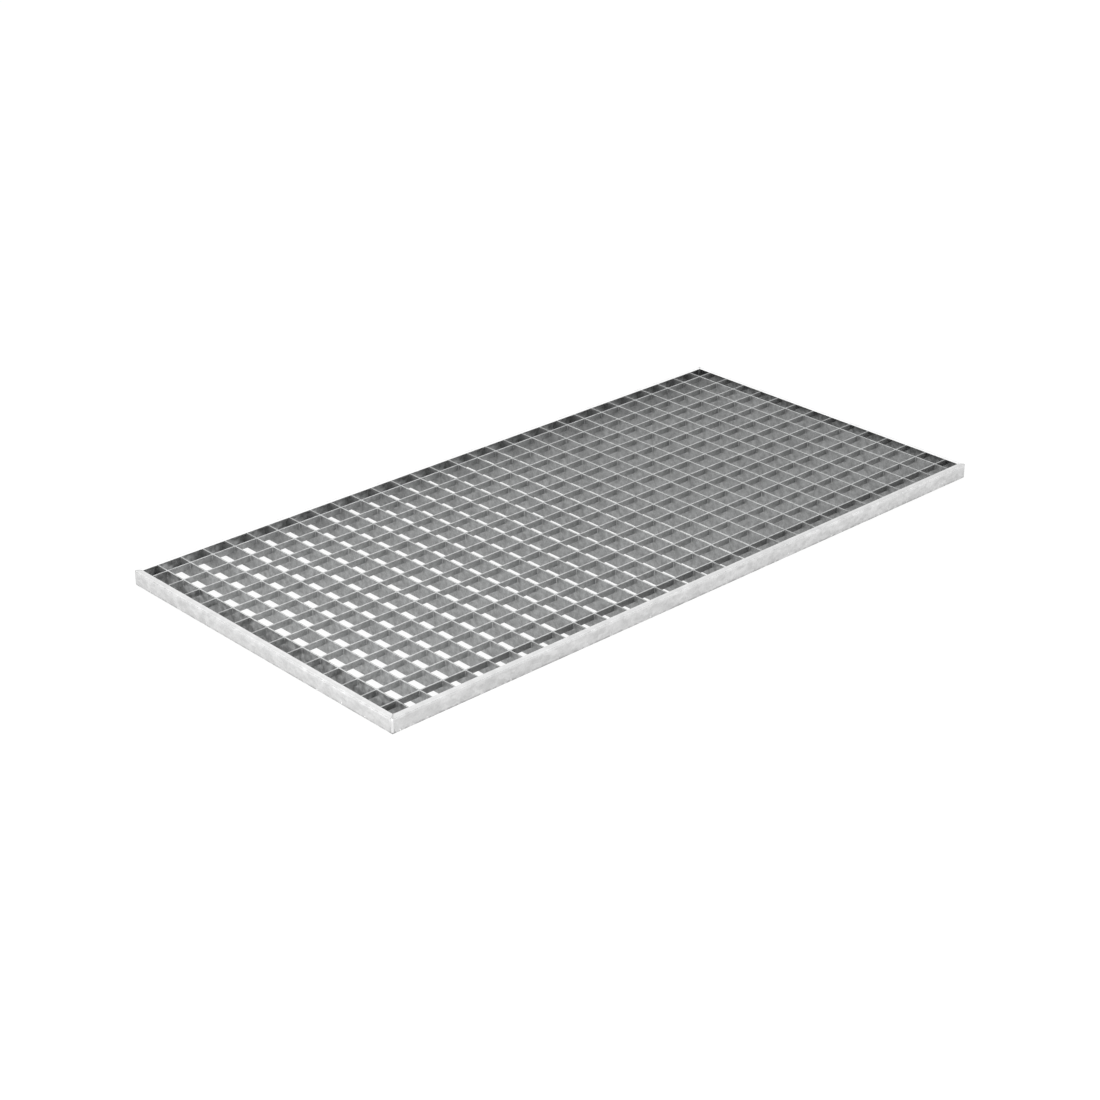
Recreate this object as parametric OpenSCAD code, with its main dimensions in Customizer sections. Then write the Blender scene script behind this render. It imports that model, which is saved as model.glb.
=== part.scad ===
// Steel grating panel: a press-locked lattice of flat bars held in a mitred edge channel.
// Millimetres. The panel lies flat: X runs along its length, Y along its width and Z up.
// The origin is at the centre of the underside.

/* [Panel] */
// Length of the panel over its edge channels
panel_length = 990; // [600:1:1500]
// Width of the panel over its edge channels, which the bearing bars span
panel_width = 490; // [300:1:1000]
// Height of the panel, from the bearing bars' undersides to their tops
panel_height = 20; // [18:1:40]

/* [Bearing bars] */
// Distance between the centres of neighbouring bearing bars
bearing_pitch = 33.2; // [20:0.1:60]
// Thickness of a bearing bar
bearing_thickness = 2; // [1.5:0.1:5]

/* [Cross bars] */
// Distance between the centres of neighbouring cross bars
cross_pitch = 33.2; // [20:0.1:60]
// Thickness of a cross bar
cross_thickness = 2; // [1.5:0.1:4]
// Depth of a cross bar below the bearing bars' tops, with which it is flush
cross_depth = 8; // [6:0.5:12]

/* [Edge channel] */
// Width of the channel's two flanges, from its outer face to their tips
flange_width = 8.5; // [6:0.5:12]
// Thickness of the channel's web and flanges
channel_wall = 2; // [1.5:0.1:3]
// Inner radius of the bends between web and flanges
bend_radius = 1.5; // [0.5:0.1:2]
// Outer radius of the welded and ground corners, seen from above
corner_radius = 5.5; // [3.5:0.5:8]

/* [Fits] */
// Clearance above and below a bar's notched end, between the channel's bends
notch_clearance = 0.5; // [0.2:0.1:1]
// Smallest gap between an edge channel and the first bar beside it
end_gap = 12; // [6:1:20]

/* [Hidden] */

$fn = 48;
zinc = [0.80, 0.81, 0.82];
zinc_inside = [0.66, 0.67, 0.69];

// The lattice is made in bays, which meet halfway between two bearing bars
bay_count = 3;
// How far a cutting shape reaches past what it cuts
overcut = 1;

// Outer radius of the channel's bends
outer_bend = bend_radius + channel_wall;
// Clear size between the flanges' tips, and between the webs
clear_length = panel_length - 2 * flange_width;
clear_width = panel_width - 2 * flange_width;
web_length = panel_length - 2 * channel_wall;
web_width = panel_width - 2 * channel_wall;
// Heights between which a bar's notched end lies inside the channel
notch_bottom = outer_bend + notch_clearance;
notch_top = panel_height - notch_bottom;

// Number of bars that a clear size takes, centred, with an end gap left at both sides
function bar_count(clear, thickness, pitch) =
    floor((clear - thickness - 2 * end_gap) / pitch) + 1;
// Place of bar number i of a centred row
function bar_place(i, count, pitch) = (i - (count - 1) / 2) * pitch;

bearing_count = bar_count(clear_length, bearing_thickness, bearing_pitch);
cross_count = bar_count(clear_width, cross_thickness, cross_pitch);

// Number of the first bearing bar of a bay, and the place where the bay starts
function bay_first(bay) = round(bay * bearing_count / bay_count);
function bay_start(bay) =
    bay == 0 ? -panel_length / 2 :
    bay == bay_count ? panel_length / 2 :
    bar_place(bay_first(bay) - 0.5, bearing_count, bearing_pitch);

// A box centred on X and Y, between two heights
module slab(size_x, size_y, bottom, top) {
    translate([-size_x / 2, -size_y / 2, bottom])
        cube([size_x, size_y, top - bottom]);
}

// Bearing bar along Y: full height between the flanges' tips, notched to reach the webs
module bearing_bar(x) {
    translate([x, 0, 0]) {
        slab(bearing_thickness, clear_width, 0, panel_height);
        slab(bearing_thickness, web_width, notch_bottom, notch_top);
    }
}

// Cross bar along X: shallow, flush with the tops, its ends notched under the top flanges
module cross_bar(y) {
    bottom = panel_height - cross_depth;
    translate([0, y, 0]) {
        slab(clear_length, cross_thickness, bottom, panel_height);
        slab(web_length, cross_thickness, bottom, notch_top);
    }
}

// One bay of the lattice: its bearing bars, fused with their stretch of every cross bar
module mesh_bay(bay) {
    color(zinc_inside) union() {
        for (i = [bay_first(bay) : bay_first(bay + 1) - 1])
            bearing_bar(bar_place(i, bearing_count, bearing_pitch));
        intersection() {
            for (j = [0 : cross_count - 1])
                cross_bar(bar_place(j, cross_count, cross_pitch));
            translate([bay_start(bay), -panel_width / 2, 0])
                cube([bay_start(bay + 1) - bay_start(bay), panel_width, panel_height + overcut]);
        }
    }
}

// A rectangle whose two corners on the X = 0 side are round
module round_sided(width, height, radius) {
    translate([radius, 0])
        square([width - radius, height]);
    translate([0, radius])
        square([radius, height - 2 * radius]);
    for (y = [radius, height - radius])
        translate([radius, y]) circle(radius);
}

// Body of the channel along the -Y side of a panel of the given size, with no hollow yet
module channel_body(size_x, size_y) {
    translate([-size_x / 2, -size_y / 2, 0])
        rotate([90, 0, 90])
        linear_extrude(size_x)
        round_sided(flange_width, panel_height, outer_bend);
}

// Hollow of that channel, open past the flanges' tips
module channel_hollow(size_x, size_y) {
    translate([-size_x / 2, channel_wall - size_y / 2, channel_wall])
        rotate([90, 0, 90])
        linear_extrude(size_x)
        round_sided(flange_width, panel_height - 2 * channel_wall, bend_radius);
}

// Plan of a rectangle with round corners
module round_plan(size_x, size_y, radius) {
    square([size_x - 2 * radius, size_y], center = true);
    square([size_x, size_y - 2 * radius], center = true);
    for (x = [-1, 1], y = [-1, 1])
        translate([x * (size_x / 2 - radius), y * (size_y / 2 - radius)])
            circle(radius);
}

// Plan of one edge channel, mitred at both ends and round at the panel's corners
module mitred_plan(size_x, size_y) {
    reach = flange_width + overcut;
    outer_x = size_x / 2 + overcut;
    outer_y = size_y / 2 + overcut;
    intersection() {
        round_plan(size_x, size_y, corner_radius);
        polygon([
            [-outer_x, -outer_y], [outer_x, -outer_y],
            [outer_x - reach - overcut, reach + overcut - outer_y],
            [reach + overcut - outer_x, reach + overcut - outer_y]
        ]);
    }
}

// Edge channel along the -Y side. Its wall keeps its thickness round the corners
module edge_channel(size_x, size_y) {
    inner_x = size_x - 2 * channel_wall;
    inner_y = size_y - 2 * channel_wall;
    color(zinc) intersection() {
        difference() {
            channel_body(size_x, size_y);
            intersection() {
                channel_hollow(size_x, size_y);
                linear_extrude(panel_height)
                    round_plan(inner_x, inner_y, corner_radius - channel_wall);
            }
        }
        translate([0, 0, -overcut])
            linear_extrude(panel_height + 2 * overcut)
            mitred_plan(size_x, size_y);
    }
}

module edge_channel_front() { edge_channel(panel_length, panel_width); }
module edge_channel_back() { rotate(180) edge_channel(panel_length, panel_width); }
module edge_channel_left() { rotate(-90) edge_channel(panel_width, panel_length); }
module edge_channel_right() { rotate(90) edge_channel(panel_width, panel_length); }

edge_channel_front();
edge_channel_back();
edge_channel_left();
edge_channel_right();
mesh_bay(0);  // mesh_bay_left
mesh_bay(1);  // mesh_bay_middle
mesh_bay(2);  // mesh_bay_right
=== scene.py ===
# %% [markdown]
# # A galvanised steel grating panel
# The real panel is made of flat steel bars. Deep bearing bars run across its width. Shallower
# cross bars are pressed into slots in their tops, and a rolled channel holds all the ends. The
# whole panel is then dipped in molten zinc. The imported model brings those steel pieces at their
# real size, in metres, with its origin under the middle of the panel. This script gives them
# their zinc, adds what welding and dipping leave behind, and lights and frames the result.

# %% The frame
import random
from math import radians, sin, cos, asin, pi, sqrt
import bpy
import bmesh
from mathutils import Vector, Matrix


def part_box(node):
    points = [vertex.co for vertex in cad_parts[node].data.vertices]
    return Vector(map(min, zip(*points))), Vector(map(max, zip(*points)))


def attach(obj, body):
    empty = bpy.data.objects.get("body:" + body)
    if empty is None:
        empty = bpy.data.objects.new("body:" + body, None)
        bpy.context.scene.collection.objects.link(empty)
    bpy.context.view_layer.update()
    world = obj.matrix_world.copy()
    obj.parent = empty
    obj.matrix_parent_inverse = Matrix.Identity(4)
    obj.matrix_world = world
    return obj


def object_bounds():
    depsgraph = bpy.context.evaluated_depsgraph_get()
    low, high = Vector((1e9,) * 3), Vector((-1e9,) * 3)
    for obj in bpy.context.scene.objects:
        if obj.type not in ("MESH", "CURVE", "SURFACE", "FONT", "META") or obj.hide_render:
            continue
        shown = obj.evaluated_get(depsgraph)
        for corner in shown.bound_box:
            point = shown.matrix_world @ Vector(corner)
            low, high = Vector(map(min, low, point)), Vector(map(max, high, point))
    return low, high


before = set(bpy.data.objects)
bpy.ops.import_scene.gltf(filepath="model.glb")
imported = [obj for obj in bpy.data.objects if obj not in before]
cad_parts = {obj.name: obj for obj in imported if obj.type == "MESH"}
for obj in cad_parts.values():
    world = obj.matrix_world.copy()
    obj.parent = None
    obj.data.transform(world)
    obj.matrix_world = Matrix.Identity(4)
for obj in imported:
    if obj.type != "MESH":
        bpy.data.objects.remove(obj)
cad_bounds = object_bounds()
low, high = (Vector(corner) for corner in cad_bounds)
MM = 0.001
print("panel, mm:", [round(side / MM, 1) for side in high - low])

# %% [markdown]
# ## The camera
# A long lens from well back keeps the panel's far end from shrinking much, as in a catalogue
# picture. The camera looks down on the panel across its near corner. Its aim lies a little off
# the middle of the panel's top, given here along the picture's own right and up directions.
# A track-to constraint could aim it, but angles that are written down are easier to compare.

# %% Camera
AZIMUTH, ELEVATION = radians(-43.054), radians(25.923)
DISTANCE = 2.9089
AIM_RIGHT, AIM_UP = -0.0257, -0.04507
LENS, SENSOR = 75.0, 36.0

backward = Vector((sin(AZIMUTH) * cos(ELEVATION), -cos(AZIMUTH) * cos(ELEVATION), sin(ELEVATION)))
rightward = Vector((0, 0, 1)).cross(backward).normalized()
upward = backward.cross(rightward)
top_centre = Vector((0, 0, high.z))
camera_data = bpy.data.cameras.new("studio_camera")
camera_data.lens = LENS
camera_data.sensor_width = SENSOR
camera = bpy.data.objects.new("studio_camera", camera_data)
camera.location = top_centre + rightward * AIM_RIGHT + upward * AIM_UP + backward * DISTANCE
camera.rotation_euler = (radians(90) - ELEVATION, 0, AZIMUTH)
bpy.context.collection.objects.link(camera)
bpy.context.scene.camera = camera
bpy.context.scene.view_settings.view_transform = "Standard"
print("camera, m:", [round(v, 3) for v in camera.location])

# %% [markdown]
# ## Small helpers
# Colours are written as the hex values that a paint chart would give, and one function turns
# them to the linear values that a shader works with. A second one adds a node to a material,
# sets its values and links what feeds it. A third turns the real size of a pattern's features
# into a texture's scale, which counts features in each metre.

# %% Helpers
def linear(hex_colour):
    """An sRGB hex colour as linear red, green, blue and alpha."""
    parts = [int(hex_colour[i:i + 2], 16) / 255 for i in (1, 3, 5)]
    return [p / 12.92 if p <= 0.04045 else ((p + 0.055) / 1.055) ** 2.4 for p in parts] + [1.0]


def add_node(tree, kind, sockets=None, **settings):
    """Adds a node. sockets maps an input's name or number to a value or to an output to link."""
    node = tree.nodes.new(kind)
    for name, value in settings.items():
        setattr(node, name, value)
    for key, value in (sockets or {}).items():
        if isinstance(value, bpy.types.NodeSocket):
            tree.links.new(value, node.inputs[key])
        else:
            node.inputs[key].default_value = value
    return node


def features(size_mm):
    """A texture's scale, for features of a real size."""
    return 1 / (size_mm * MM)


print("#808080 in linear light:", round(linear("#808080")[0], 3))
print("texture scale for features of 5 mm:", features(5))

# %% [markdown]
# ## The floor
# The panel lies on a plain white floor. White paint alone would need so much light that the zinc
# would burn out. So the floor glows a little for the rays that reach the camera straight or by a
# reflection, and stays a dark diffuse surface for all the others. The object still shades it.
# The floor has no back: from below it is clear, so that the panel's underside can be looked at.

# %% Floor
FLOOR_SIZE = 20
FLOOR_GAP = 0.2 * MM
FLOOR_GLOW = 0.93


def floor_material():
    material = bpy.data.materials.new("studio_floor")
    material.use_nodes = True
    tree = material.node_tree
    tree.nodes.clear()
    rays = add_node(tree, "ShaderNodeLightPath")
    seen = add_node(tree, "ShaderNodeMath", {
        0: rays.outputs["Is Camera Ray"], 1: rays.outputs["Is Glossy Ray"]}, operation="ADD")
    seen = add_node(tree, "ShaderNodeMath", {
        0: seen.outputs[0], 1: rays.outputs["Is Transmission Ray"]}, operation="ADD", use_clamp=True)
    glow = add_node(tree, "ShaderNodeMath", {0: seen.outputs[0], 1: FLOOR_GLOW}, operation="MULTIPLY")
    paint = add_node(tree, "ShaderNodeBsdfDiffuse", {"Color": (0.1, 0.1, 0.1, 1)})
    shine = add_node(tree, "ShaderNodeEmission", {"Color": (1, 1, 1, 1), "Strength": glow.outputs[0]})
    both = add_node(tree, "ShaderNodeAddShader", {0: paint.outputs[0], 1: shine.outputs[0]})
    side = add_node(tree, "ShaderNodeNewGeometry")
    clear = add_node(tree, "ShaderNodeBsdfTransparent")
    one_sided = add_node(tree, "ShaderNodeMixShader", {
        0: side.outputs["Backfacing"], 1: both.outputs[0], 2: clear.outputs[0]})
    add_node(tree, "ShaderNodeOutputMaterial", {"Surface": one_sided.outputs[0]})
    return material


plane = bmesh.new()
bmesh.ops.create_grid(plane, x_segments=1, y_segments=1, size=FLOOR_SIZE)
bmesh.ops.translate(plane, verts=plane.verts, vec=(0, 0, low.z - FLOOR_GAP))
floor_mesh = bpy.data.meshes.new("studio_floor")
plane.to_mesh(floor_mesh)
plane.free()
floor_mesh.materials.append(floor_material())
floor = bpy.data.objects.new("studio_floor", floor_mesh)
bpy.context.collection.objects.link(floor)
print("floor, m below the panel:", FLOOR_GAP)

# %% [markdown]
# ## The studio light
# Zinc is a metal, so it shows what it faces: upright faces mirror the floor, tops mirror the
# far wall, and rounded edges mirror whatever lies between. The world is the white room. Large
# softboxes lift what the room leaves flat. One hangs overhead. Two stand where the rounded top
# edges of the near channels mirror them. Three low ones stand round the near corner: the bars
# there catch more of their light than those at the far end do.

# %% World and lamps
WORLD_STRENGTH = 0.95

world = bpy.data.worlds.new("studio")
bpy.context.scene.world = world
world.use_nodes = True
world.node_tree.nodes["Background"].inputs["Color"].default_value = (1, 1, 1, 1)
world.node_tree.nodes["Background"].inputs["Strength"].default_value = WORLD_STRENGTH


def softbox(name, place, width, height, watts):
    """A rectangular lamp that faces the middle of the panel."""
    lamp = bpy.data.lights.new(name, "AREA")
    lamp.shape = "RECTANGLE"
    lamp.size, lamp.size_y = width, height
    lamp.energy = watts
    holder = bpy.data.objects.new(name, lamp)
    holder.location = place
    holder.rotation_euler = (-Vector(place)).to_track_quat("-Z", "Y").to_euler()
    bpy.context.collection.objects.link(holder)


# A lamp's place, width and height are in metres, and its power is in watts
softbox("overhead", (0, 0.6, 2.4), 3.5, 2.5, 11)
softbox("left_edge_light", (-1.3, 1.9, 1.7), 1.4, 1.0, 3)
softbox("front_edge_light", (1.9, -1.3, 1.9), 1.4, 1.0, 2)
softbox("corner_light", (-2.3, -2.1, 0.45), 1.2, 0.7, 5)
softbox("near_light", (-1.3, -1.0, 0.35), 0.8, 0.5, 11)
softbox("left_side_light", (-1.7, 0.3, 0.45), 1.0, 0.5, 3)
print("lamps:", [lamp.name for lamp in bpy.data.lights])

# %% [markdown]
# ## Round faces and sharp edges
# The channels' bends are smooth on the real panel, but in the model they are a row of narrow
# facets. Shading them smooth hides the facets, as long as the true edges stay sharp. Marking
# each face and edge by hand would do this too, but it edits the mesh. A small node group does it
# as a modifier.

# %% Shading by angle
SHARP_ANGLE = radians(40)


def smooth_by_angle():
    """A node group that shades faces smooth, except across edges sharper than a limit."""
    group = bpy.data.node_groups.new("smooth_by_angle", "GeometryNodeTree")
    group.interface.new_socket("Geometry", in_out="INPUT", socket_type="NodeSocketGeometry")
    group.interface.new_socket("Geometry", in_out="OUTPUT", socket_type="NodeSocketGeometry")
    source = add_node(group, "NodeGroupInput")
    faces = add_node(group, "GeometryNodeSetShadeSmooth", {0: source.outputs[0]}, domain="FACE")
    angle = add_node(group, "GeometryNodeInputMeshEdgeAngle")
    sharp = add_node(group, "FunctionNodeCompare", {
        0: angle.outputs["Unsigned Angle"], 1: SHARP_ANGLE}, data_type="FLOAT", operation="GREATER_THAN")
    edges = add_node(group, "GeometryNodeSetShadeSmooth", {
        0: faces.outputs[0], "Selection": sharp.outputs["Result"], "Shade Smooth": False},
        domain="EDGE")
    add_node(group, "NodeGroupOutput", {0: edges.outputs[0]})
    return group


shade_group = smooth_by_angle()
print("node group:", shade_group.name, "nodes:", len(shade_group.nodes))

# %% [markdown]
# ## Softer edges on the steel
# Molten zinc never leaves a knife edge: the coat is about 0.1 mm thick, and it rounds what it
# covers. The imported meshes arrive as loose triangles. So a stack of modifiers merges their
# corners, dissolves the seams inside flat faces and bevels what is really an edge. A last one
# weights the normals by area, so that flat faces stay flat and only the bevels look round.
# Editing the meshes could do the same, but modifiers leave the steel itself untouched.

# %% Edge rounding
EDGE_ROUND = 0.25 * MM
MERGE_GAP = 0.001 * MM
FLAT_ANGLE = radians(1)


def round_edges(piece, width):
    """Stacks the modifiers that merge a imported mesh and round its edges."""
    weld = piece.modifiers.new("merge_corners", "WELD")
    weld.merge_threshold = MERGE_GAP
    flat = piece.modifiers.new("dissolve_seams", "DECIMATE")
    flat.decimate_type = "DISSOLVE"
    flat.angle_limit = FLAT_ANGLE
    bevel = piece.modifiers.new("round_edges", "BEVEL")
    bevel.width = width
    bevel.segments = 2
    bevel.limit_method = "ANGLE"
    bevel.angle_limit = SHARP_ANGLE
    shade = piece.modifiers.new("shade_smooth", "NODES")
    shade.node_group = shade_group
    piece.modifiers.new("even_normals", "WEIGHTED_NORMAL").keep_sharp = True


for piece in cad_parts.values():
    round_edges(piece, EDGE_ROUND)
print("rounded nodes:", len(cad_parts), "by mm:", EDGE_ROUND / MM)

# %% [markdown]
# ## Where a point lies on the panel
# Several finishes change with place: painted shade near the channel and in its hollow, and
# painted shade and blotches low on the webs. A few math nodes on the object's own coordinates
# measure how far a point lies in from the panel's outer faces and how high above the floor.
# Vertex colours could do the same, but the long flat faces have no vertices in the middle to
# hold them.

# %% Distances inside a material
def distances(tree, place):
    """Outputs: the distance in from the nearest outer face, and the height above the floor."""
    spot = add_node(tree, "ShaderNodeVectorMath", {0: place.outputs["Object"]}, operation="ABSOLUTE")
    spot = add_node(tree, "ShaderNodeSeparateXYZ", {0: spot.outputs[0]})
    from_end = add_node(tree, "ShaderNodeMath", {0: high.x, 1: spot.outputs["X"]}, operation="SUBTRACT")
    from_side = add_node(tree, "ShaderNodeMath", {0: high.y, 1: spot.outputs["Y"]}, operation="SUBTRACT")
    inwards = add_node(tree, "ShaderNodeMath", {
        0: from_end.outputs[0], 1: from_side.outputs[0]}, operation="MINIMUM")
    return inwards.outputs[0], spot.outputs["Z"]


print("outer faces, mm from the middle:", round(high.x / MM, 1), round(high.y / MM, 1))

# %% [markdown]
# ## Where the bars stand
# The zinc fillets, and the painted shade in the corners, sit at the crossings, so they follow the
# lattice. The bearing bars and the cross bars stand at one even pitch, centred on the panel, and
# the cross bars reach 8 mm down from the tops. The bars' places could be read from the meshes, but
# the model is built from these few sizes too, and one formula gives them all.

# %% The lattice
BEARING_BARS, CROSS_BARS = 29, 14
PITCH = 33.2 * MM
CROSS_DEPTH = 8 * MM
HALF_BAR = 1 * MM
cross_bottom = high.z - CROSS_DEPTH


def bar_place(number, count):
    """The place of one bar of a centred row, counted from 0."""
    return (number - (count - 1) / 2) * PITCH


print("outer bars, mm:", round(bar_place(BEARING_BARS - 1, BEARING_BARS) / MM, 1),
      "and", round(bar_place(CROSS_BARS - 1, CROSS_BARS) / MM, 1), "from the middle")

# %% [markdown]
# ## What all the zinc shares
# Everything here is one metal, dipped in one bath. So each coat starts from the same shader with
# Metallic at 1 and the default IOR, and gets its own colour, roughness and relief. Zinc as it
# sets is neither polished nor matt, with a roughness near 0.5. The relief is a few hundredths of
# a millimetre high, and only breaks up the shine.

# %% A coat of zinc
def start_coat(name):
    """A new metal material: itself, its node tree and its texture coordinates."""
    material = bpy.data.materials.new(name)
    material.use_nodes = True
    tree = material.node_tree
    tree.nodes["Principled BSDF"].inputs["Metallic"].default_value = 1.0
    return material, tree, add_node(tree, "ShaderNodeTexCoord")


def dress_coat(tree, colour, roughness, relief):
    """Links a coat's colour, roughness and relief to its shader."""
    shader = tree.nodes["Principled BSDF"]
    for name, output in (("Base Color", colour), ("Roughness", roughness), ("Normal", relief)):
        tree.links.new(output, shader.inputs[name])

# %% [markdown]
# ## Painted shade in the crossings
# The corners where bars cross are painted darker, as painted shade. It could be painted by hand,
# but the lattice is regular. A ping-pong node folds a coordinate at every half pitch, so it
# measures the way to the nearest bearing bar, one of which stands in the middle of the panel. The
# middle of the cross bars' row is a gap, so what the node measures there is taken from half a pitch.

# %% Distance from a crossing
# The painted shade is deepest up to the first distance, gone at the second, and its tone comes third
CORNER_SHADE = (1 * MM, 8 * MM, 0.82)


def from_crossing(tree, spot, height):
    """How far a point lies from the nearest crossing, whose corners end below the cross bar."""
    to_bearing = add_node(tree, "ShaderNodeMath", {
        0: spot.outputs["X"], 1: PITCH / 2}, operation="PINGPONG")
    to_middle = add_node(tree, "ShaderNodeMath", {
        0: spot.outputs["Y"], 1: PITCH / 2}, operation="PINGPONG")
    to_cross = add_node(tree, "ShaderNodeMath", {
        0: PITCH / 2, 1: to_middle.outputs[0]}, operation="SUBTRACT")
    level = add_node(tree, "ShaderNodeMath", {
        0: to_bearing.outputs[0], 1: to_cross.outputs[0]}, operation="MAXIMUM")
    below = add_node(tree, "ShaderNodeMapRange", {
        "Value": height, "From Min": cross_bottom + 1 * MM, "From Max": cross_bottom - 1 * MM,
        "To Max": CORNER_SHADE[1]})
    return add_node(tree, "ShaderNodeMath", {0: level.outputs[0], 1: below.outputs["Result"]})


print("ash fades out, mm from a crossing:", CORNER_SHADE[1] / MM)

# %% [markdown]
# ## Painted shade on the bars
# More painted shade lies along the front and back of the panel. In the cells beside the left
# channel it lies in flecks a few millimetres wide, deepest low down. Every kind of painted shade
# is a factor on the zinc's own tone, so that they can be multiplied where they meet. Laying one
# material over another would do it too, but with a shader for each.

# %% Painted shade on the sides
# Painted shade along the front and the back, given as for the corners, and at the cross bars' left ends
FRONT_SHADE = (20 * MM, 60 * MM, 0.88)
BACK_SHADE = (50 * MM, 75 * MM, 0.8)
END_SHADE_TONE = 0.78
FLECK_MM = 9


def flecked_shade(tree, place, height):
    """The painted shade in the cells beside the left channel, broken into flecks."""
    low_down = add_node(tree, "ShaderNodeMapRange", {
        "Value": height, "From Min": 6 * MM, "From Max": 11 * MM, "To Min": 0.6, "To Max": 0.86})
    flecks = add_node(tree, "ShaderNodeTexNoise", {
        "Vector": place.outputs["Object"], "Scale": features(FLECK_MM), "Detail": 1.0})
    fleck = add_node(tree, "ShaderNodeMapRange", {
        "Value": flecks.outputs["Fac"], "From Min": 0.38, "From Max": 0.58, "To Min": 0.75, "To Max": 1.3})
    return add_node(tree, "ShaderNodeMath", {
        0: low_down.outputs["Result"], 1: fleck.outputs["Result"]}, operation="MULTIPLY")


def bar_side_shade(tree, place, spot, height, sideways):
    """All the painted shade on the bars' sides. Sideways is 1 on a cross bar's side and 0 on a bearing
    bar's.
    """
    from_back = add_node(tree, "ShaderNodeMath", {0: high.y, 1: spot.outputs["Y"]}, operation="SUBTRACT")
    from_front = add_node(tree, "ShaderNodeMath", {0: spot.outputs["Y"], 1: low.y}, operation="SUBTRACT")
    fades = []
    for distance, (start, end, darkest) in (
            (from_crossing(tree, spot, height), CORNER_SHADE), (from_front, FRONT_SHADE), (from_back, BACK_SHADE)):
        fades.append(add_node(tree, "ShaderNodeMapRange", {
            "Value": distance.outputs[0], "From Min": start, "From Max": end, "To Min": darkest}))
    in_corner, at_front, at_back = fades

    # The painted shade at the back lies on the bearing bars only, and the cross bars' left ends have their
    # own
    past_first_bar = add_node(tree, "ShaderNodeMath", {
        0: spot.outputs["X"], 1: bar_place(0, BEARING_BARS)}, operation="GREATER_THAN")
    cross_bar_ends = add_node(tree, "ShaderNodeMapRange", {
        "Value": past_first_bar.outputs[0], "To Min": END_SHADE_TONE})
    by_side = add_node(tree, "ShaderNodeMapRange", {
        "Value": sideways.outputs[0], "From Min": 0.5, "From Max": 0.9,
        "To Min": at_back.outputs["Result"], "To Max": cross_bar_ends.outputs["Result"]})
    painted_shade = add_node(tree, "ShaderNodeMix", {
        "Factor": past_first_bar.outputs[0], 2: flecked_shade(tree, place, height).outputs[0], 3: 1.0})
    for fade in (in_corner, at_front, by_side):
        painted_shade = add_node(tree, "ShaderNodeMath", {
            0: painted_shade.outputs[0], 1: fade.outputs["Result"]}, operation="MULTIPLY")
    return painted_shade


print("ash fades out, mm from the front:", FRONT_SHADE[1] / MM, "from the back:", BACK_SHADE[1] / MM)

# %% [markdown]
# ## Shades of the bars
# The flat sides of the bars are an even, dull grey, darker than the tops and a little darker low
# down, both as painted shade. The cross bars' sides are darker still, as painted shade, and a
# painted light gradient makes the bars palest at the left end. The narrow tops are lighter, as
# painted light, and less so beside the channel, as painted shade. The side that a face belongs to
# is read from its normal, because bars of both kinds are fused into one mesh.

# %% Bar shades
# The sides' tones, darker than the top's and darker low down, are painted shade
SIDE_LOW, SIDE_HIGH = "#A1A2A2", "#ABACAC"
BAR_TOP = "#C5C6C6"
# Painted shade on the cross bars' sides
CROSS_SHADE_TONE = 0.92
# Painted shade on the tops beside the channel
TOP_SHADE_TONE = 0.78
# Painted light: the bars are lighter at the left end and darker at the right
LIT_END, SHADED_END = 1.1, 0.92


def bar_colour(tree, place, spread):
    """The bars' colour, with painted light and shade. Spread is the pattern of clouds, from 0 to 1."""
    # Tops face up and get the lighter tone as painted light, and sides lighten with height, as painted shade
    # low down
    inwards, height = distances(tree, place)
    up_the_side = add_node(tree, "ShaderNodeMapRange", {
        "Value": height, "From Min": 0.2 * high.z, "From Max": 0.8 * high.z})
    side = add_node(tree, "ShaderNodeMix", {
        "Factor": up_the_side.outputs["Result"], 6: linear(SIDE_LOW), 7: linear(SIDE_HIGH)},
        data_type="RGBA")
    facing = add_node(tree, "ShaderNodeSeparateXYZ", {0: place.outputs["Normal"]})
    upward_facing = add_node(tree, "ShaderNodeMapRange", {
        "Value": facing.outputs["Z"], "From Min": 0.3, "From Max": 0.8})
    colour = add_node(tree, "ShaderNodeMix", {
        "Factor": upward_facing.outputs["Result"], 6: side.outputs[2], 7: linear(BAR_TOP)},
        data_type="RGBA")

    # Sides carry painted shade, and tops get painted shade beside the channel
    spot = add_node(tree, "ShaderNodeSeparateXYZ", {0: place.outputs["Object"]})
    sideways = add_node(tree, "ShaderNodeMath", {0: facing.outputs["Y"]}, operation="ABSOLUTE")
    painted_shade = bar_side_shade(tree, place, spot, height, sideways)
    top_shade = add_node(tree, "ShaderNodeMapRange", {
        "Value": inwards, "From Min": 25 * MM, "From Max": 30 * MM, "To Min": TOP_SHADE_TONE})
    with_painted_shade = add_node(tree, "ShaderNodeMix", {
        "Factor": upward_facing.outputs["Result"], 2: painted_shade.outputs[0], 3: top_shade.outputs["Result"]})

    # The cross bars' sides face along the panel's width and get painted shade, and the clouds vary every
    # shade
    cross_side_shade = add_node(tree, "ShaderNodeMapRange", {
        "Value": sideways.outputs[0], "From Min": 0.5, "From Max": 0.9, "To Min": 1.0, "To Max": CROSS_SHADE_TONE})
    shade = add_node(tree, "ShaderNodeMapRange", {
        "Value": spread.outputs["Result"], "To Min": 0.8, "To Max": 1.2})
    # A painted light gradient from the left end to the right
    end_to_end = add_node(tree, "ShaderNodeMapRange", {
        "Value": spot.outputs["X"], "From Min": low.x, "From Max": high.x,
        "To Min": LIT_END, "To Max": SHADED_END})
    for factor in (with_painted_shade, cross_side_shade, end_to_end):
        shade = add_node(tree, "ShaderNodeMath", {
            0: shade.outputs[0], 1: factor.outputs[0]}, operation="MULTIPLY")
    return add_node(tree, "ShaderNodeVectorMath", {
        0: colour.outputs[2], "Scale": shade.outputs[0]}, operation="SCALE")


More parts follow.
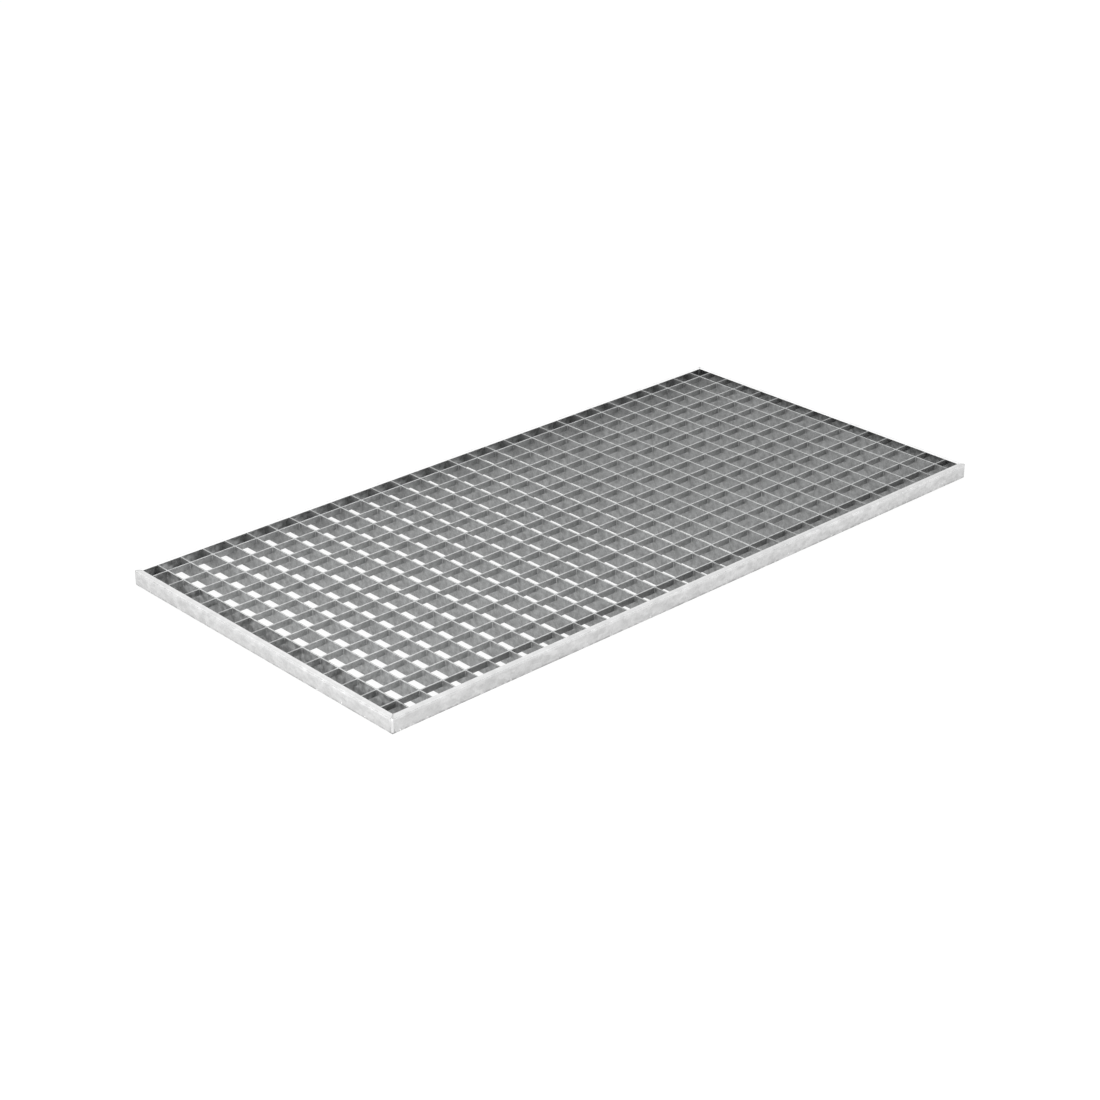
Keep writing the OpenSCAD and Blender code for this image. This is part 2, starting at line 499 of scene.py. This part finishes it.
print("bars, side and top:", SIDE_LOW, SIDE_HIGH, BAR_TOP)

# %% [markdown]
# ## Hot-dip zinc on the bars
# The lattice comes out of the bath with a thin, fast-cooled coat, whose crystals stay fine. They
# show as small clouds in the grey. A picture of zinc could be wrapped round the bars, but noise
# on the object's own coordinates needs no unwrapping and holds at any distance. The clouds are
# drawn somewhat coarser than the crystals of so thin a coat, which would vanish at this distance.

# %% Bar zinc
CLOUD_MM = 7
GRAIN_MM = 2.2


def bar_zinc():
    """Zinc on the bars: clouds and grain, which vary its shade, its roughness and its relief."""
    material, tree, place = start_coat("galvanised_bar_coat")
    clouds = add_node(tree, "ShaderNodeTexNoise", {
        "Vector": place.outputs["Object"], "Scale": features(CLOUD_MM), "Detail": 2.0})
    grain = add_node(tree, "ShaderNodeTexNoise", {
        "Vector": place.outputs["Object"], "Scale": features(GRAIN_MM), "Detail": 1.0})
    mixed = add_node(tree, "ShaderNodeMath", {
        0: grain.outputs["Fac"], 1: 0.7, 2: clouds.outputs["Fac"]}, operation="MULTIPLY_ADD")
    spread = add_node(tree, "ShaderNodeMapRange", {
        "Value": mixed.outputs[0], "From Min": 0.6, "From Max": 1.1})
    colour = bar_colour(tree, place, spread)
    rough = add_node(tree, "ShaderNodeMapRange", {
        "Value": spread.outputs["Result"], "To Min": 0.58, "To Max": 0.48})
    relief = add_node(tree, "ShaderNodeBump", {
        "Height": mixed.outputs[0], "Strength": 0.25, "Distance": 0.05 * MM})
    dress_coat(tree, colour.outputs[0], rough.outputs["Result"], relief.outputs["Normal"])
    return material


bar_coat = bar_zinc()
for name in ("mesh_bay_left", "mesh_bay_middle", "mesh_bay_right"):
    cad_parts[name].material_slots[0].material = bar_coat
print("bars:", bar_coat.name)

# %% [markdown]
# ## Spangle on the channels
# A channel has more steel than a bar, so it cools slower and grows larger crystals, the spangle.
# They show as soft clouds with fainter cells in them. Noise makes the clouds, a cell texture
# makes the crystals, and both are squeezed in height, so that they lie along the strip. Their
# sizes are typical of spangle. A picture of it would show its seams where the strip bends.

# %% Spangle and clouds
SPANGLE_MM = 8
DRIFT_MM = 16
SQUEEZE = 1.7


def channel_pattern(tree, place):
    """Clouds, with some of the crystals and the grain added."""
    squeezed = add_node(tree, "ShaderNodeMapping", {
        "Vector": place.outputs["Object"], "Scale": (1, 1, SQUEEZE)})
    drift = add_node(tree, "ShaderNodeTexNoise", {
        "Vector": squeezed.outputs[0], "Scale": features(DRIFT_MM), "Detail": 4.0, "Roughness": 0.6})
    spangle = add_node(tree, "ShaderNodeTexVoronoi", {
        "Vector": squeezed.outputs[0], "Scale": features(SPANGLE_MM)})
    crystal = add_node(tree, "ShaderNodeSeparateColor", {0: spangle.outputs["Color"]})
    grain = add_node(tree, "ShaderNodeTexNoise", {
        "Vector": place.outputs["Object"], "Scale": features(GRAIN_MM), "Detail": 2.0})
    mixed = add_node(tree, "ShaderNodeMath", {
        0: crystal.outputs[0], 1: 0.22, 2: drift.outputs["Fac"]}, operation="MULTIPLY_ADD")
    return add_node(tree, "ShaderNodeMath", {
        0: grain.outputs["Fac"], 1: 0.45, 2: mixed.outputs[0]}, operation="MULTIPLY_ADD")


print("spangle, mm:", SPANGLE_MM, "clouds, mm:", DRIFT_MM)

# %% [markdown]
# ## Painted shade and blotches low on the web
# The web is painted darker towards its bottom edge, as painted shade, and blotchy along that edge,
# where molten zinc runs down and sets last. A ramp on the height gives the first and a noise cut
# off above the edge the second.
# The blotches are a few millimetres wide. They could be modelled, but they are hardly thicker
# than the coat.

# %% Blotches and painted shade
BLOTCH_MM = 6
# The weight of the blotches, and of the painted shade that darkens the web downwards
BLOTCH_WEIGHT, LOW_SHADE_WEIGHT = 0.65, 0.2


def drained_and_shaded(tree, height, patches):
    """How far the colour turns to the foot's tone: painted shade grows downwards, and blotches form at the
    low edge where the zinc sets last.
    """
    downwards = add_node(tree, "ShaderNodeMapRange", {
        "Value": height, "From Min": 0.9 * high.z, "From Max": 0.1 * high.z, "To Max": LOW_SHADE_WEIGHT})
    patch = add_node(tree, "ShaderNodeMapRange", {
        "Value": patches.outputs["Fac"], "From Min": 0.42, "From Max": 0.56})
    low_edge = add_node(tree, "ShaderNodeMapRange", {
        "Value": height, "From Min": 4.5 * MM, "From Max": 2 * MM})
    blotch = add_node(tree, "ShaderNodeMath", {
        0: patch.outputs["Result"], 1: low_edge.outputs["Result"]}, operation="MULTIPLY")
    return add_node(tree, "ShaderNodeMath", {
        0: blotch.outputs[0], 1: BLOTCH_WEIGHT, 2: downwards.outputs["Result"]},
        operation="MULTIPLY_ADD", use_clamp=True)


print("blotches, mm:", BLOTCH_MM)

# %% [markdown]
# ## The outside of a channel
# The zinc outside is a bright pale grey. On most channels the bend is painted brighter than the
# web, as a painted highlight, and on all of them so is the flange towards its inner edge. A face's
# normal tells what it belongs to: the flange faces up, the web faces outwards, and the bend turns
# from one to the other. Separate materials would leave hard lines between them.

# %% Outside of a channel
BEND_RADIUS = 3.5 * MM
# A painted highlight on the flange towards its tip
TIP_HIGHLIGHT_TONE = 1.08
channel_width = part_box("edge_channel_front")[1].y - low.y


def outside(tree, place, spread, inwards, blotch_and_shade, flange, bend, web, foot):
    """The colour of a channel's outside, from the tones of its faces and of its lower edge, with painted
    highlights and shade.
    """
    facing = add_node(tree, "ShaderNodeSeparateXYZ", {0: place.outputs["Normal"]})
    on_bend = add_node(tree, "ShaderNodeMapRange", {
        "Value": facing.outputs["Z"], "From Min": 0.1, "From Max": 0.45})
    on_flange = add_node(tree, "ShaderNodeMapRange", {
        "Value": facing.outputs["Z"], "From Min": 0.8, "From Max": 0.95})
    colour = add_node(tree, "ShaderNodeMix", {
        "Factor": on_bend.outputs["Result"], 6: linear(web), 7: linear(bend)}, data_type="RGBA")
    for factor, tone in ((on_flange, flange), (blotch_and_shade, foot)):
        colour = add_node(tree, "ShaderNodeMix", {
            "Factor": factor.outputs[0], 6: colour.outputs[2], 7: linear(tone)}, data_type="RGBA")

    # The clouds are fainter on the flange, which also gets a painted highlight towards its tip
    darkest = add_node(tree, "ShaderNodeMapRange", {
        "Value": on_flange.outputs["Result"], "To Min": 0.8, "To Max": 0.9})
    clouds = add_node(tree, "ShaderNodeMapRange", {
        "Value": spread.outputs["Result"], "To Min": darkest.outputs["Result"], "To Max": 1.05})
    tip_highlight = add_node(tree, "ShaderNodeMapRange", {
        "Value": inwards, "From Min": BEND_RADIUS, "From Max": channel_width - 3 * MM,
        "To Min": 1.0, "To Max": TIP_HIGHLIGHT_TONE})
    shade = add_node(tree, "ShaderNodeMath", {
        0: clouds.outputs["Result"], 1: tip_highlight.outputs["Result"]}, operation="MULTIPLY")
    return add_node(tree, "ShaderNodeVectorMath", {
        0: colour.outputs[2], "Scale": shade.outputs[0]}, operation="SCALE")


print("channel width, mm:", round(channel_width / MM, 2))

# %% [markdown]
# ## The hollow side of a channel
# The hollow side is painted dark and mottled, as painted shade, and darkest under the top flange,
# as a painted shadow. One material covers a whole channel, so it has to tell that side from the
# outside.
# The channel's wall is 2 mm thick, so what lies deeper than half of that below all the outer
# faces belongs to the hollow side. The flanges' tips are part of it too: they are as far in as
# the channel reaches. Two materials would need the faces sorted by hand.

# %% Hollow side
WALL_SKIN = 1 * MM
TIP_SKIN = 0.15 * MM


def on_hollow_side(tree, inwards, height):
    """1 on a channel's hollow side and its flanges' tips, and 0 on its outside."""
    from_top = add_node(tree, "ShaderNodeMath", {0: high.z, 1: height}, operation="SUBTRACT")
    level = add_node(tree, "ShaderNodeMath", {0: from_top.outputs[0], 1: height}, operation="MINIMUM")
    depth = add_node(tree, "ShaderNodeMath", {0: level.outputs[0], 1: inwards}, operation="MINIMUM")
    deep = add_node(tree, "ShaderNodeMath", {0: depth.outputs[0], 1: WALL_SKIN}, operation="GREATER_THAN")
    at_tip = add_node(tree, "ShaderNodeMath", {
        0: inwards, 1: channel_width - TIP_SKIN}, operation="GREATER_THAN")
    below = add_node(tree, "ShaderNodeMath", {0: level.outputs[0], 1: TIP_SKIN}, operation="GREATER_THAN")
    tip = add_node(tree, "ShaderNodeMath", {0: at_tip.outputs[0], 1: below.outputs[0]}, operation="MULTIPLY")
    return add_node(tree, "ShaderNodeMath", {0: deep.outputs[0], 1: tip.outputs[0]}, operation="MAXIMUM")


def hollow_shade_colour(tree, height, patches, tone):
    """The painted shade inside a channel, mottled, and darkest under the flange as a painted shadow."""
    # A painted shadow under the flange, and a mottle
    flange_shadow = add_node(tree, "ShaderNodeMapRange", {
        "Value": height, "From Min": 0.3 * high.z, "From Max": 0.8 * high.z, "To Min": 1.3, "To Max": 0.7})
    mottle = add_node(tree, "ShaderNodeMapRange", {
        "Value": patches.outputs["Fac"], "From Min": 0.35, "From Max": 0.65, "To Min": 0.65, "To Max": 1.35})
    shade = add_node(tree, "ShaderNodeMath", {
        0: flange_shadow.outputs["Result"], 1: mottle.outputs["Result"]}, operation="MULTIPLY")
    return add_node(tree, "ShaderNodeVectorMath", {
        0: linear(tone)[:3], "Scale": shade.outputs[0]}, operation="SCALE")


print("hollow side starts, mm below the outer faces:", WALL_SKIN / MM)

# %% [markdown]
# ## Hot-dip zinc on the channels
# Each length of strip takes the zinc a little differently, so each channel has its own shades.
# The far channels' near-white flanges and bright bends, and the front channel's bright bend, are
# painted highlights, and the hollow sides' tones are painted shade, darkest in the near channels.
# One material per channel joins its outside and its hollow side: the pattern is set by place, so
# it runs on round the bends.

# %% Channel zinc
def channel_zinc(name, flange, bend, web, foot, hollow):
    """Zinc on a channel: the tones of its flange, bend, web, lower edge and hollow side, with painted light
    and shade.
    """
    material, tree, place = start_coat(name)
    inwards, height = distances(tree, place)
    mixed = channel_pattern(tree, place)
    spread = add_node(tree, "ShaderNodeMapRange", {
        "Value": mixed.outputs[0], "From Min": 0.6, "From Max": 1.1})
    patches = add_node(tree, "ShaderNodeTexNoise", {
        "Vector": place.outputs["Object"], "Scale": features(BLOTCH_MM), "Detail": 3.0})
    blotch_and_shade = drained_and_shaded(tree, height, patches)
    with_painted_shade = outside(tree, place, spread, inwards, blotch_and_shade, flange, bend, web, foot)
    colour = add_node(tree, "ShaderNodeMix", {
        "Factor": on_hollow_side(tree, inwards, height).outputs[0], 6: with_painted_shade.outputs[0],
        7: hollow_shade_colour(tree, height, patches, hollow).outputs[0]}, data_type="RGBA")
    rough = add_node(tree, "ShaderNodeMapRange", {
        "Value": spread.outputs["Result"], "To Min": 0.52, "To Max": 0.42})
    relief = add_node(tree, "ShaderNodeBump", {
        "Height": mixed.outputs[0], "Strength": 0.2, "Distance": 0.08 * MM})
    dress_coat(tree, colour.outputs[2], rough.outputs["Result"], relief.outputs["Normal"])
    return material


# Painted highlights: the far channels' flanges and bends and the front channel's bend. Painted shade: every
# hollow
channel_shades = {
    "edge_channel_left": ("#E1E1E1", "#E2E2E2", "#E2E2E2", "#A8A8A8", "#48494A"),
    "edge_channel_front": ("#DCDCDC", "#EAEAEA", "#DEDEDE", "#9C9C9C", "#48494A"),
    "edge_channel_right": ("#F8F8F8", "#F0F0F0", "#DCDCDC", "#A8A8A8", "#7E7F7F"),
    "edge_channel_back": ("#F8F8F8", "#F0F0F0", "#DCDCDC", "#A8A8A8", "#A0A1A1"),
}
for name, shades in channel_shades.items():
    coat_name = name.replace("edge_channel", "galvanised_channel")
    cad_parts[name].material_slots[0].material = channel_zinc(coat_name, *shades)
    print(coat_name, "flange, bend, web, foot, hollow:", *shades)

# %% [markdown]
# ## Beads of metal
# Welds and frozen runs of zinc are all low ridges with rounded ends. Each is drawn as a row of
# flat ellipses that stand across its path, bridged into one skin and closed at both ends. At
# least half of every ellipse is sunk in the steel, so only a low crown shows. A bevelled curve
# would be quicker to draw, but it can't be low and wide at the same time.

# %% A bead along a path
BEAD_SIDES = 8


def ellipse_ring(mesh, centre, across, up):
    """One ring of a bead. across and up are its half width and height, as vectors."""
    along = across.cross(up).normalized()
    turn = Matrix((across, up, along)).transposed().to_4x4()
    ring = bmesh.ops.create_circle(
        mesh, segments=BEAD_SIDES, radius=1, matrix=Matrix.Translation(centre) @ turn)
    return list({edge for vertex in ring["verts"] for edge in vertex.link_edges})


def add_bead(mesh, rings):
    """Bridges rings, each a centre with two half axes, into one closed bead."""
    loops = [ellipse_ring(mesh, *ring) for ring in rings]
    for first, second in zip(loops, loops[1:]):
        bmesh.ops.bridge_loops(mesh, edges=first + second)
    for end in (loops[0], loops[-1]):
        bmesh.ops.contextual_create(mesh, geom=end)


def finished_piece(name, mesh, material, smooth=True):
    """Turns a bmesh into a piece that rides with the panel."""
    bmesh.ops.recalc_face_normals(mesh, faces=mesh.faces)
    for face in mesh.faces:
        face.smooth = smooth
    data = bpy.data.meshes.new(name)
    mesh.to_mesh(data)
    mesh.free()
    data.materials.append(material)
    piece = bpy.data.objects.new(name, data)
    bpy.context.collection.objects.link(piece)
    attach(piece, "root")
    print(name, "faces:", len(data.polygons))

# %% [markdown]
# ## Fresh zinc
# Ground welds and the runs that set last keep a smooth, bright coat. It is the same metal as on
# the channels, with finer clouds and more shine.

# %% Bright zinc
def bright_zinc(name, tone, roughness):
    """Zinc that set last: an even tone with faint clouds, round a middle roughness."""
    material, tree, place = start_coat(name)
    clouds = add_node(tree, "ShaderNodeTexNoise", {
        "Vector": place.outputs["Object"], "Scale": features(GRAIN_MM), "Detail": 2.0})
    shade = add_node(tree, "ShaderNodeMapRange", {
        "Value": clouds.outputs["Fac"], "From Min": 0.35, "From Max": 0.65, "To Min": 0.92, "To Max": 1.0})
    colour = add_node(tree, "ShaderNodeVectorMath", {
        0: linear(tone)[:3], "Scale": shade.outputs["Result"]}, operation="SCALE")
    rough = add_node(tree, "ShaderNodeMapRange", {
        "Value": clouds.outputs["Fac"], "To Min": roughness + 0.06, "To Max": roughness - 0.06})
    relief = add_node(tree, "ShaderNodeBump", {
        "Height": clouds.outputs["Fac"], "Strength": 0.3, "Distance": 0.1 * MM})
    dress_coat(tree, colour.outputs[0], rough.outputs["Result"], relief.outputs["Normal"])
    return material


weld_coat = bright_zinc("galvanised_weld_ground", "#D0D0D0", 0.58)
run_coat = bright_zinc("galvanised_run", "#D2D2D2", 0.45)
print("bright zinc:", weld_coat.name, run_coat.name)

# %% [markdown]
# ## The mitred corners
# At each corner two channels meet in a mitre. The weld runs from the inner corner of the top
# flange over the bend and down the round corner, and stops above the lower bend, because a weld
# below would lift the panel off its seat. It is ground almost flush, so most of it lies below
# the surface, and its crown follows the round corner. The path of the weld lies in the upright
# plane of the mitre, so it needs only a distance in from the outer faces and a height. The bend
# is an arc worked out from its radius.

# %% Corner welds
CORNER_RADIUS = 5.5 * MM
WELD_HALF_WIDTH = 1.9 * MM
WELD_PROUD = 0.12 * MM
WELD_DEPTH = 0.5 * MM
WELD_START = 0.3 * MM
WELD_STOP = 1.5 * MM
BEND_STEPS = 4

corner_inset = CORNER_RADIUS * (1 - 1 / sqrt(2))
bend_end = asin((BEND_RADIUS - corner_inset) / BEND_RADIUS)


def weld_path():
    """The weld's path: distance in from both outer faces, height, and tilt from upright."""
    path = [(channel_width - WELD_START, high.z, 0.0), (BEND_RADIUS, high.z, 0.0)]
    for step in range(1, BEND_STEPS + 1):
        tilt = bend_end * step / BEND_STEPS
        path.append((BEND_RADIUS * (1 - sin(tilt)),
                     high.z - BEND_RADIUS * (1 - cos(tilt)), tilt))
    for height in (high.z - BEND_RADIUS, high.z / 2, 2 * WELD_STOP, WELD_STOP):
        path.append((corner_inset, height, pi / 2))
    return path


welds = bmesh.new()
for side_x, side_y in ((-1, -1), (1, -1), (1, 1), (-1, 1)):
    outwards = Vector((side_x, side_y, 0)).normalized()
    across = Vector((0, 0, 1)).cross(outwards)
    rings = []
    for inset, height, tilt in weld_path():
        centre = Vector((side_x * (high.x - inset), side_y * (high.y - inset), height))
        normal = outwards * sin(tilt) + Vector((0, 0, cos(tilt)))
        rings.append((centre - normal * WELD_DEPTH, across * WELD_HALF_WIDTH,
                      normal * (WELD_DEPTH + WELD_PROUD)))
    add_bead(welds, rings)
finished_piece("corner_welds", welds, weld_coat)

# %% [markdown]
# ## Zinc in the crossings
# Molten zinc creeps into the four upright corners of every crossing and sets there as a small
# hollow fillet. One fillet starts as a single vertex, which a quarter turn of the spin tool
# draws into an arc. Two edges to the corner and a face close it, and an extrusion gives it the
# cross bar's depth. Copies go round each crossing, and each has its own size, because no two
# corners drain alike.

# %% Crossing fillets
FILLET_LEG = 1.0 * MM
FILLET_SPREAD = (0.7, 1.5)
FILLET_STEPS = 3
SUNK = 0.05 * MM
random.seed(7)


def fillet_shape():
    """A fillet with legs of 1 m and the true height, its corner at the origin."""
    shape = bmesh.new()
    start = bmesh.ops.create_vert(shape, co=(1, 0, 0))["vert"][0]
    bmesh.ops.spin(shape, geom=[start], cent=(1, 1, 0), axis=(0, 0, 1), dvec=(0, 0, 0),
                   angle=-pi / 2, steps=FILLET_STEPS, use_duplicate=False)
    ends = [vertex for vertex in shape.verts if len(vertex.link_edges) == 1]
    corner = bmesh.ops.create_vert(shape, co=(0, 0, 0))["vert"][0]
    for end in ends:
        bmesh.ops.contextual_create(shape, geom=[corner, end])
    face = bmesh.ops.contextual_create(shape, geom=shape.edges)["faces"]
    walls = bmesh.ops.extrude_face_region(shape, geom=face)
    raised = [item for item in walls["geom"] if isinstance(item, bmesh.types.BMVert)]
    bmesh.ops.translate(shape, verts=raised, vec=(0, 0, CROSS_DEPTH - SUNK))
    bmesh.ops.recalc_face_normals(shape, faces=shape.faces)
    return shape


pattern = bpy.data.meshes.new("fillet_pattern")
shape = fillet_shape()
shape.to_mesh(pattern)
shape.free()
fillets = bmesh.new()
for column in range(BEARING_BARS):
    for row in range(CROSS_BARS):
        crossing = Vector((bar_place(column, BEARING_BARS), bar_place(row, CROSS_BARS), cross_bottom))
        for quarter in range(4):
            leg = FILLET_LEG * random.uniform(*FILLET_SPREAD)
            before = len(fillets.verts)
            fillets.from_mesh(pattern)
            fillets.verts.ensure_lookup_table()
            corner = fillets.verts[before:]
            bmesh.ops.scale(fillets, verts=corner, vec=(leg, leg, 1))
            bmesh.ops.translate(fillets, verts=corner, vec=(HALF_BAR - SUNK, HALF_BAR - SUNK, 0))
            bmesh.ops.rotate(fillets, verts=corner, cent=(0, 0, 0),
                             matrix=Matrix.Rotation(quarter * pi / 2, 3, "Z"))
            bmesh.ops.translate(fillets, verts=corner, vec=crossing)
finished_piece("crossing_fillets", fillets, bar_coat, smooth=False)

# %% [markdown]
# ## Runs along the low edge
# As the panel is drawn out of the bath, zinc drains down the webs, and the last of it freezes
# just above the bottom bend as flat runs, a few millimetres long. Each is a bead of four rings,
# wide below and narrow above. Its places and sizes come from a seeded random generator.

# %% Zinc runs
RUN_SPACING = (18 * MM, 48 * MM)
RUN_LENGTH = (3 * MM, 8 * MM)
RUN_HALF_WIDTH = (0.8 * MM, 2.0 * MM)
RUN_RISE = (0.12, 0.2)
RUN_FOOT = 1.2 * MM
# Shares of a run's length, each with the share of its width and rise that it has there
RUN_OUTLINE = ((0, 0.45), (0.18, 1), (0.5, 0.8), (1, 0.15))
CORNER_CLEAR = 12 * MM


def web_point(height):
    """Distance in from the outer face and tilt from upright, low on a channel's outside."""
    if height >= BEND_RADIUS:
        return 0.0, pi / 2
    below = asin((BEND_RADIUS - height) / BEND_RADIUS)
    return BEND_RADIUS * (1 - cos(below)), pi / 2 + below


def add_run(mesh, along, outwards, reach, place):
    """One run at a place along a side whose outer face lies at a distance from the middle."""
    length = random.uniform(*RUN_LENGTH)
    half_width = random.uniform(*RUN_HALF_WIDTH)
    proud = half_width * random.uniform(*RUN_RISE)
    rings = []
    for share, width in RUN_OUTLINE:
        height = RUN_FOOT + share * length
        inset, tilt = web_point(height)
        normal = outwards * sin(tilt) + Vector((0, 0, cos(tilt)))
        centre = along * place + outwards * (reach - inset) + Vector((0, 0, height))
        rings.append((centre, along * half_width * width, normal * proud * width))
    add_bead(mesh, rings)


runs = bmesh.new()
for outwards, reach, half_side in (
        (Vector((0, -1, 0)), high.y, high.x), (Vector((0, 1, 0)), high.y, high.x),
        (Vector((-1, 0, 0)), high.x, high.y), (Vector((1, 0, 0)), high.x, high.y)):
    along = Vector((0, 0, 1)).cross(outwards)
    place = CORNER_CLEAR - half_side
    while place < half_side - CORNER_CLEAR:
        add_run(runs, along, outwards, reach, place)
        place += random.uniform(*RUN_SPACING)
finished_piece("zinc_runs", runs, run_coat)
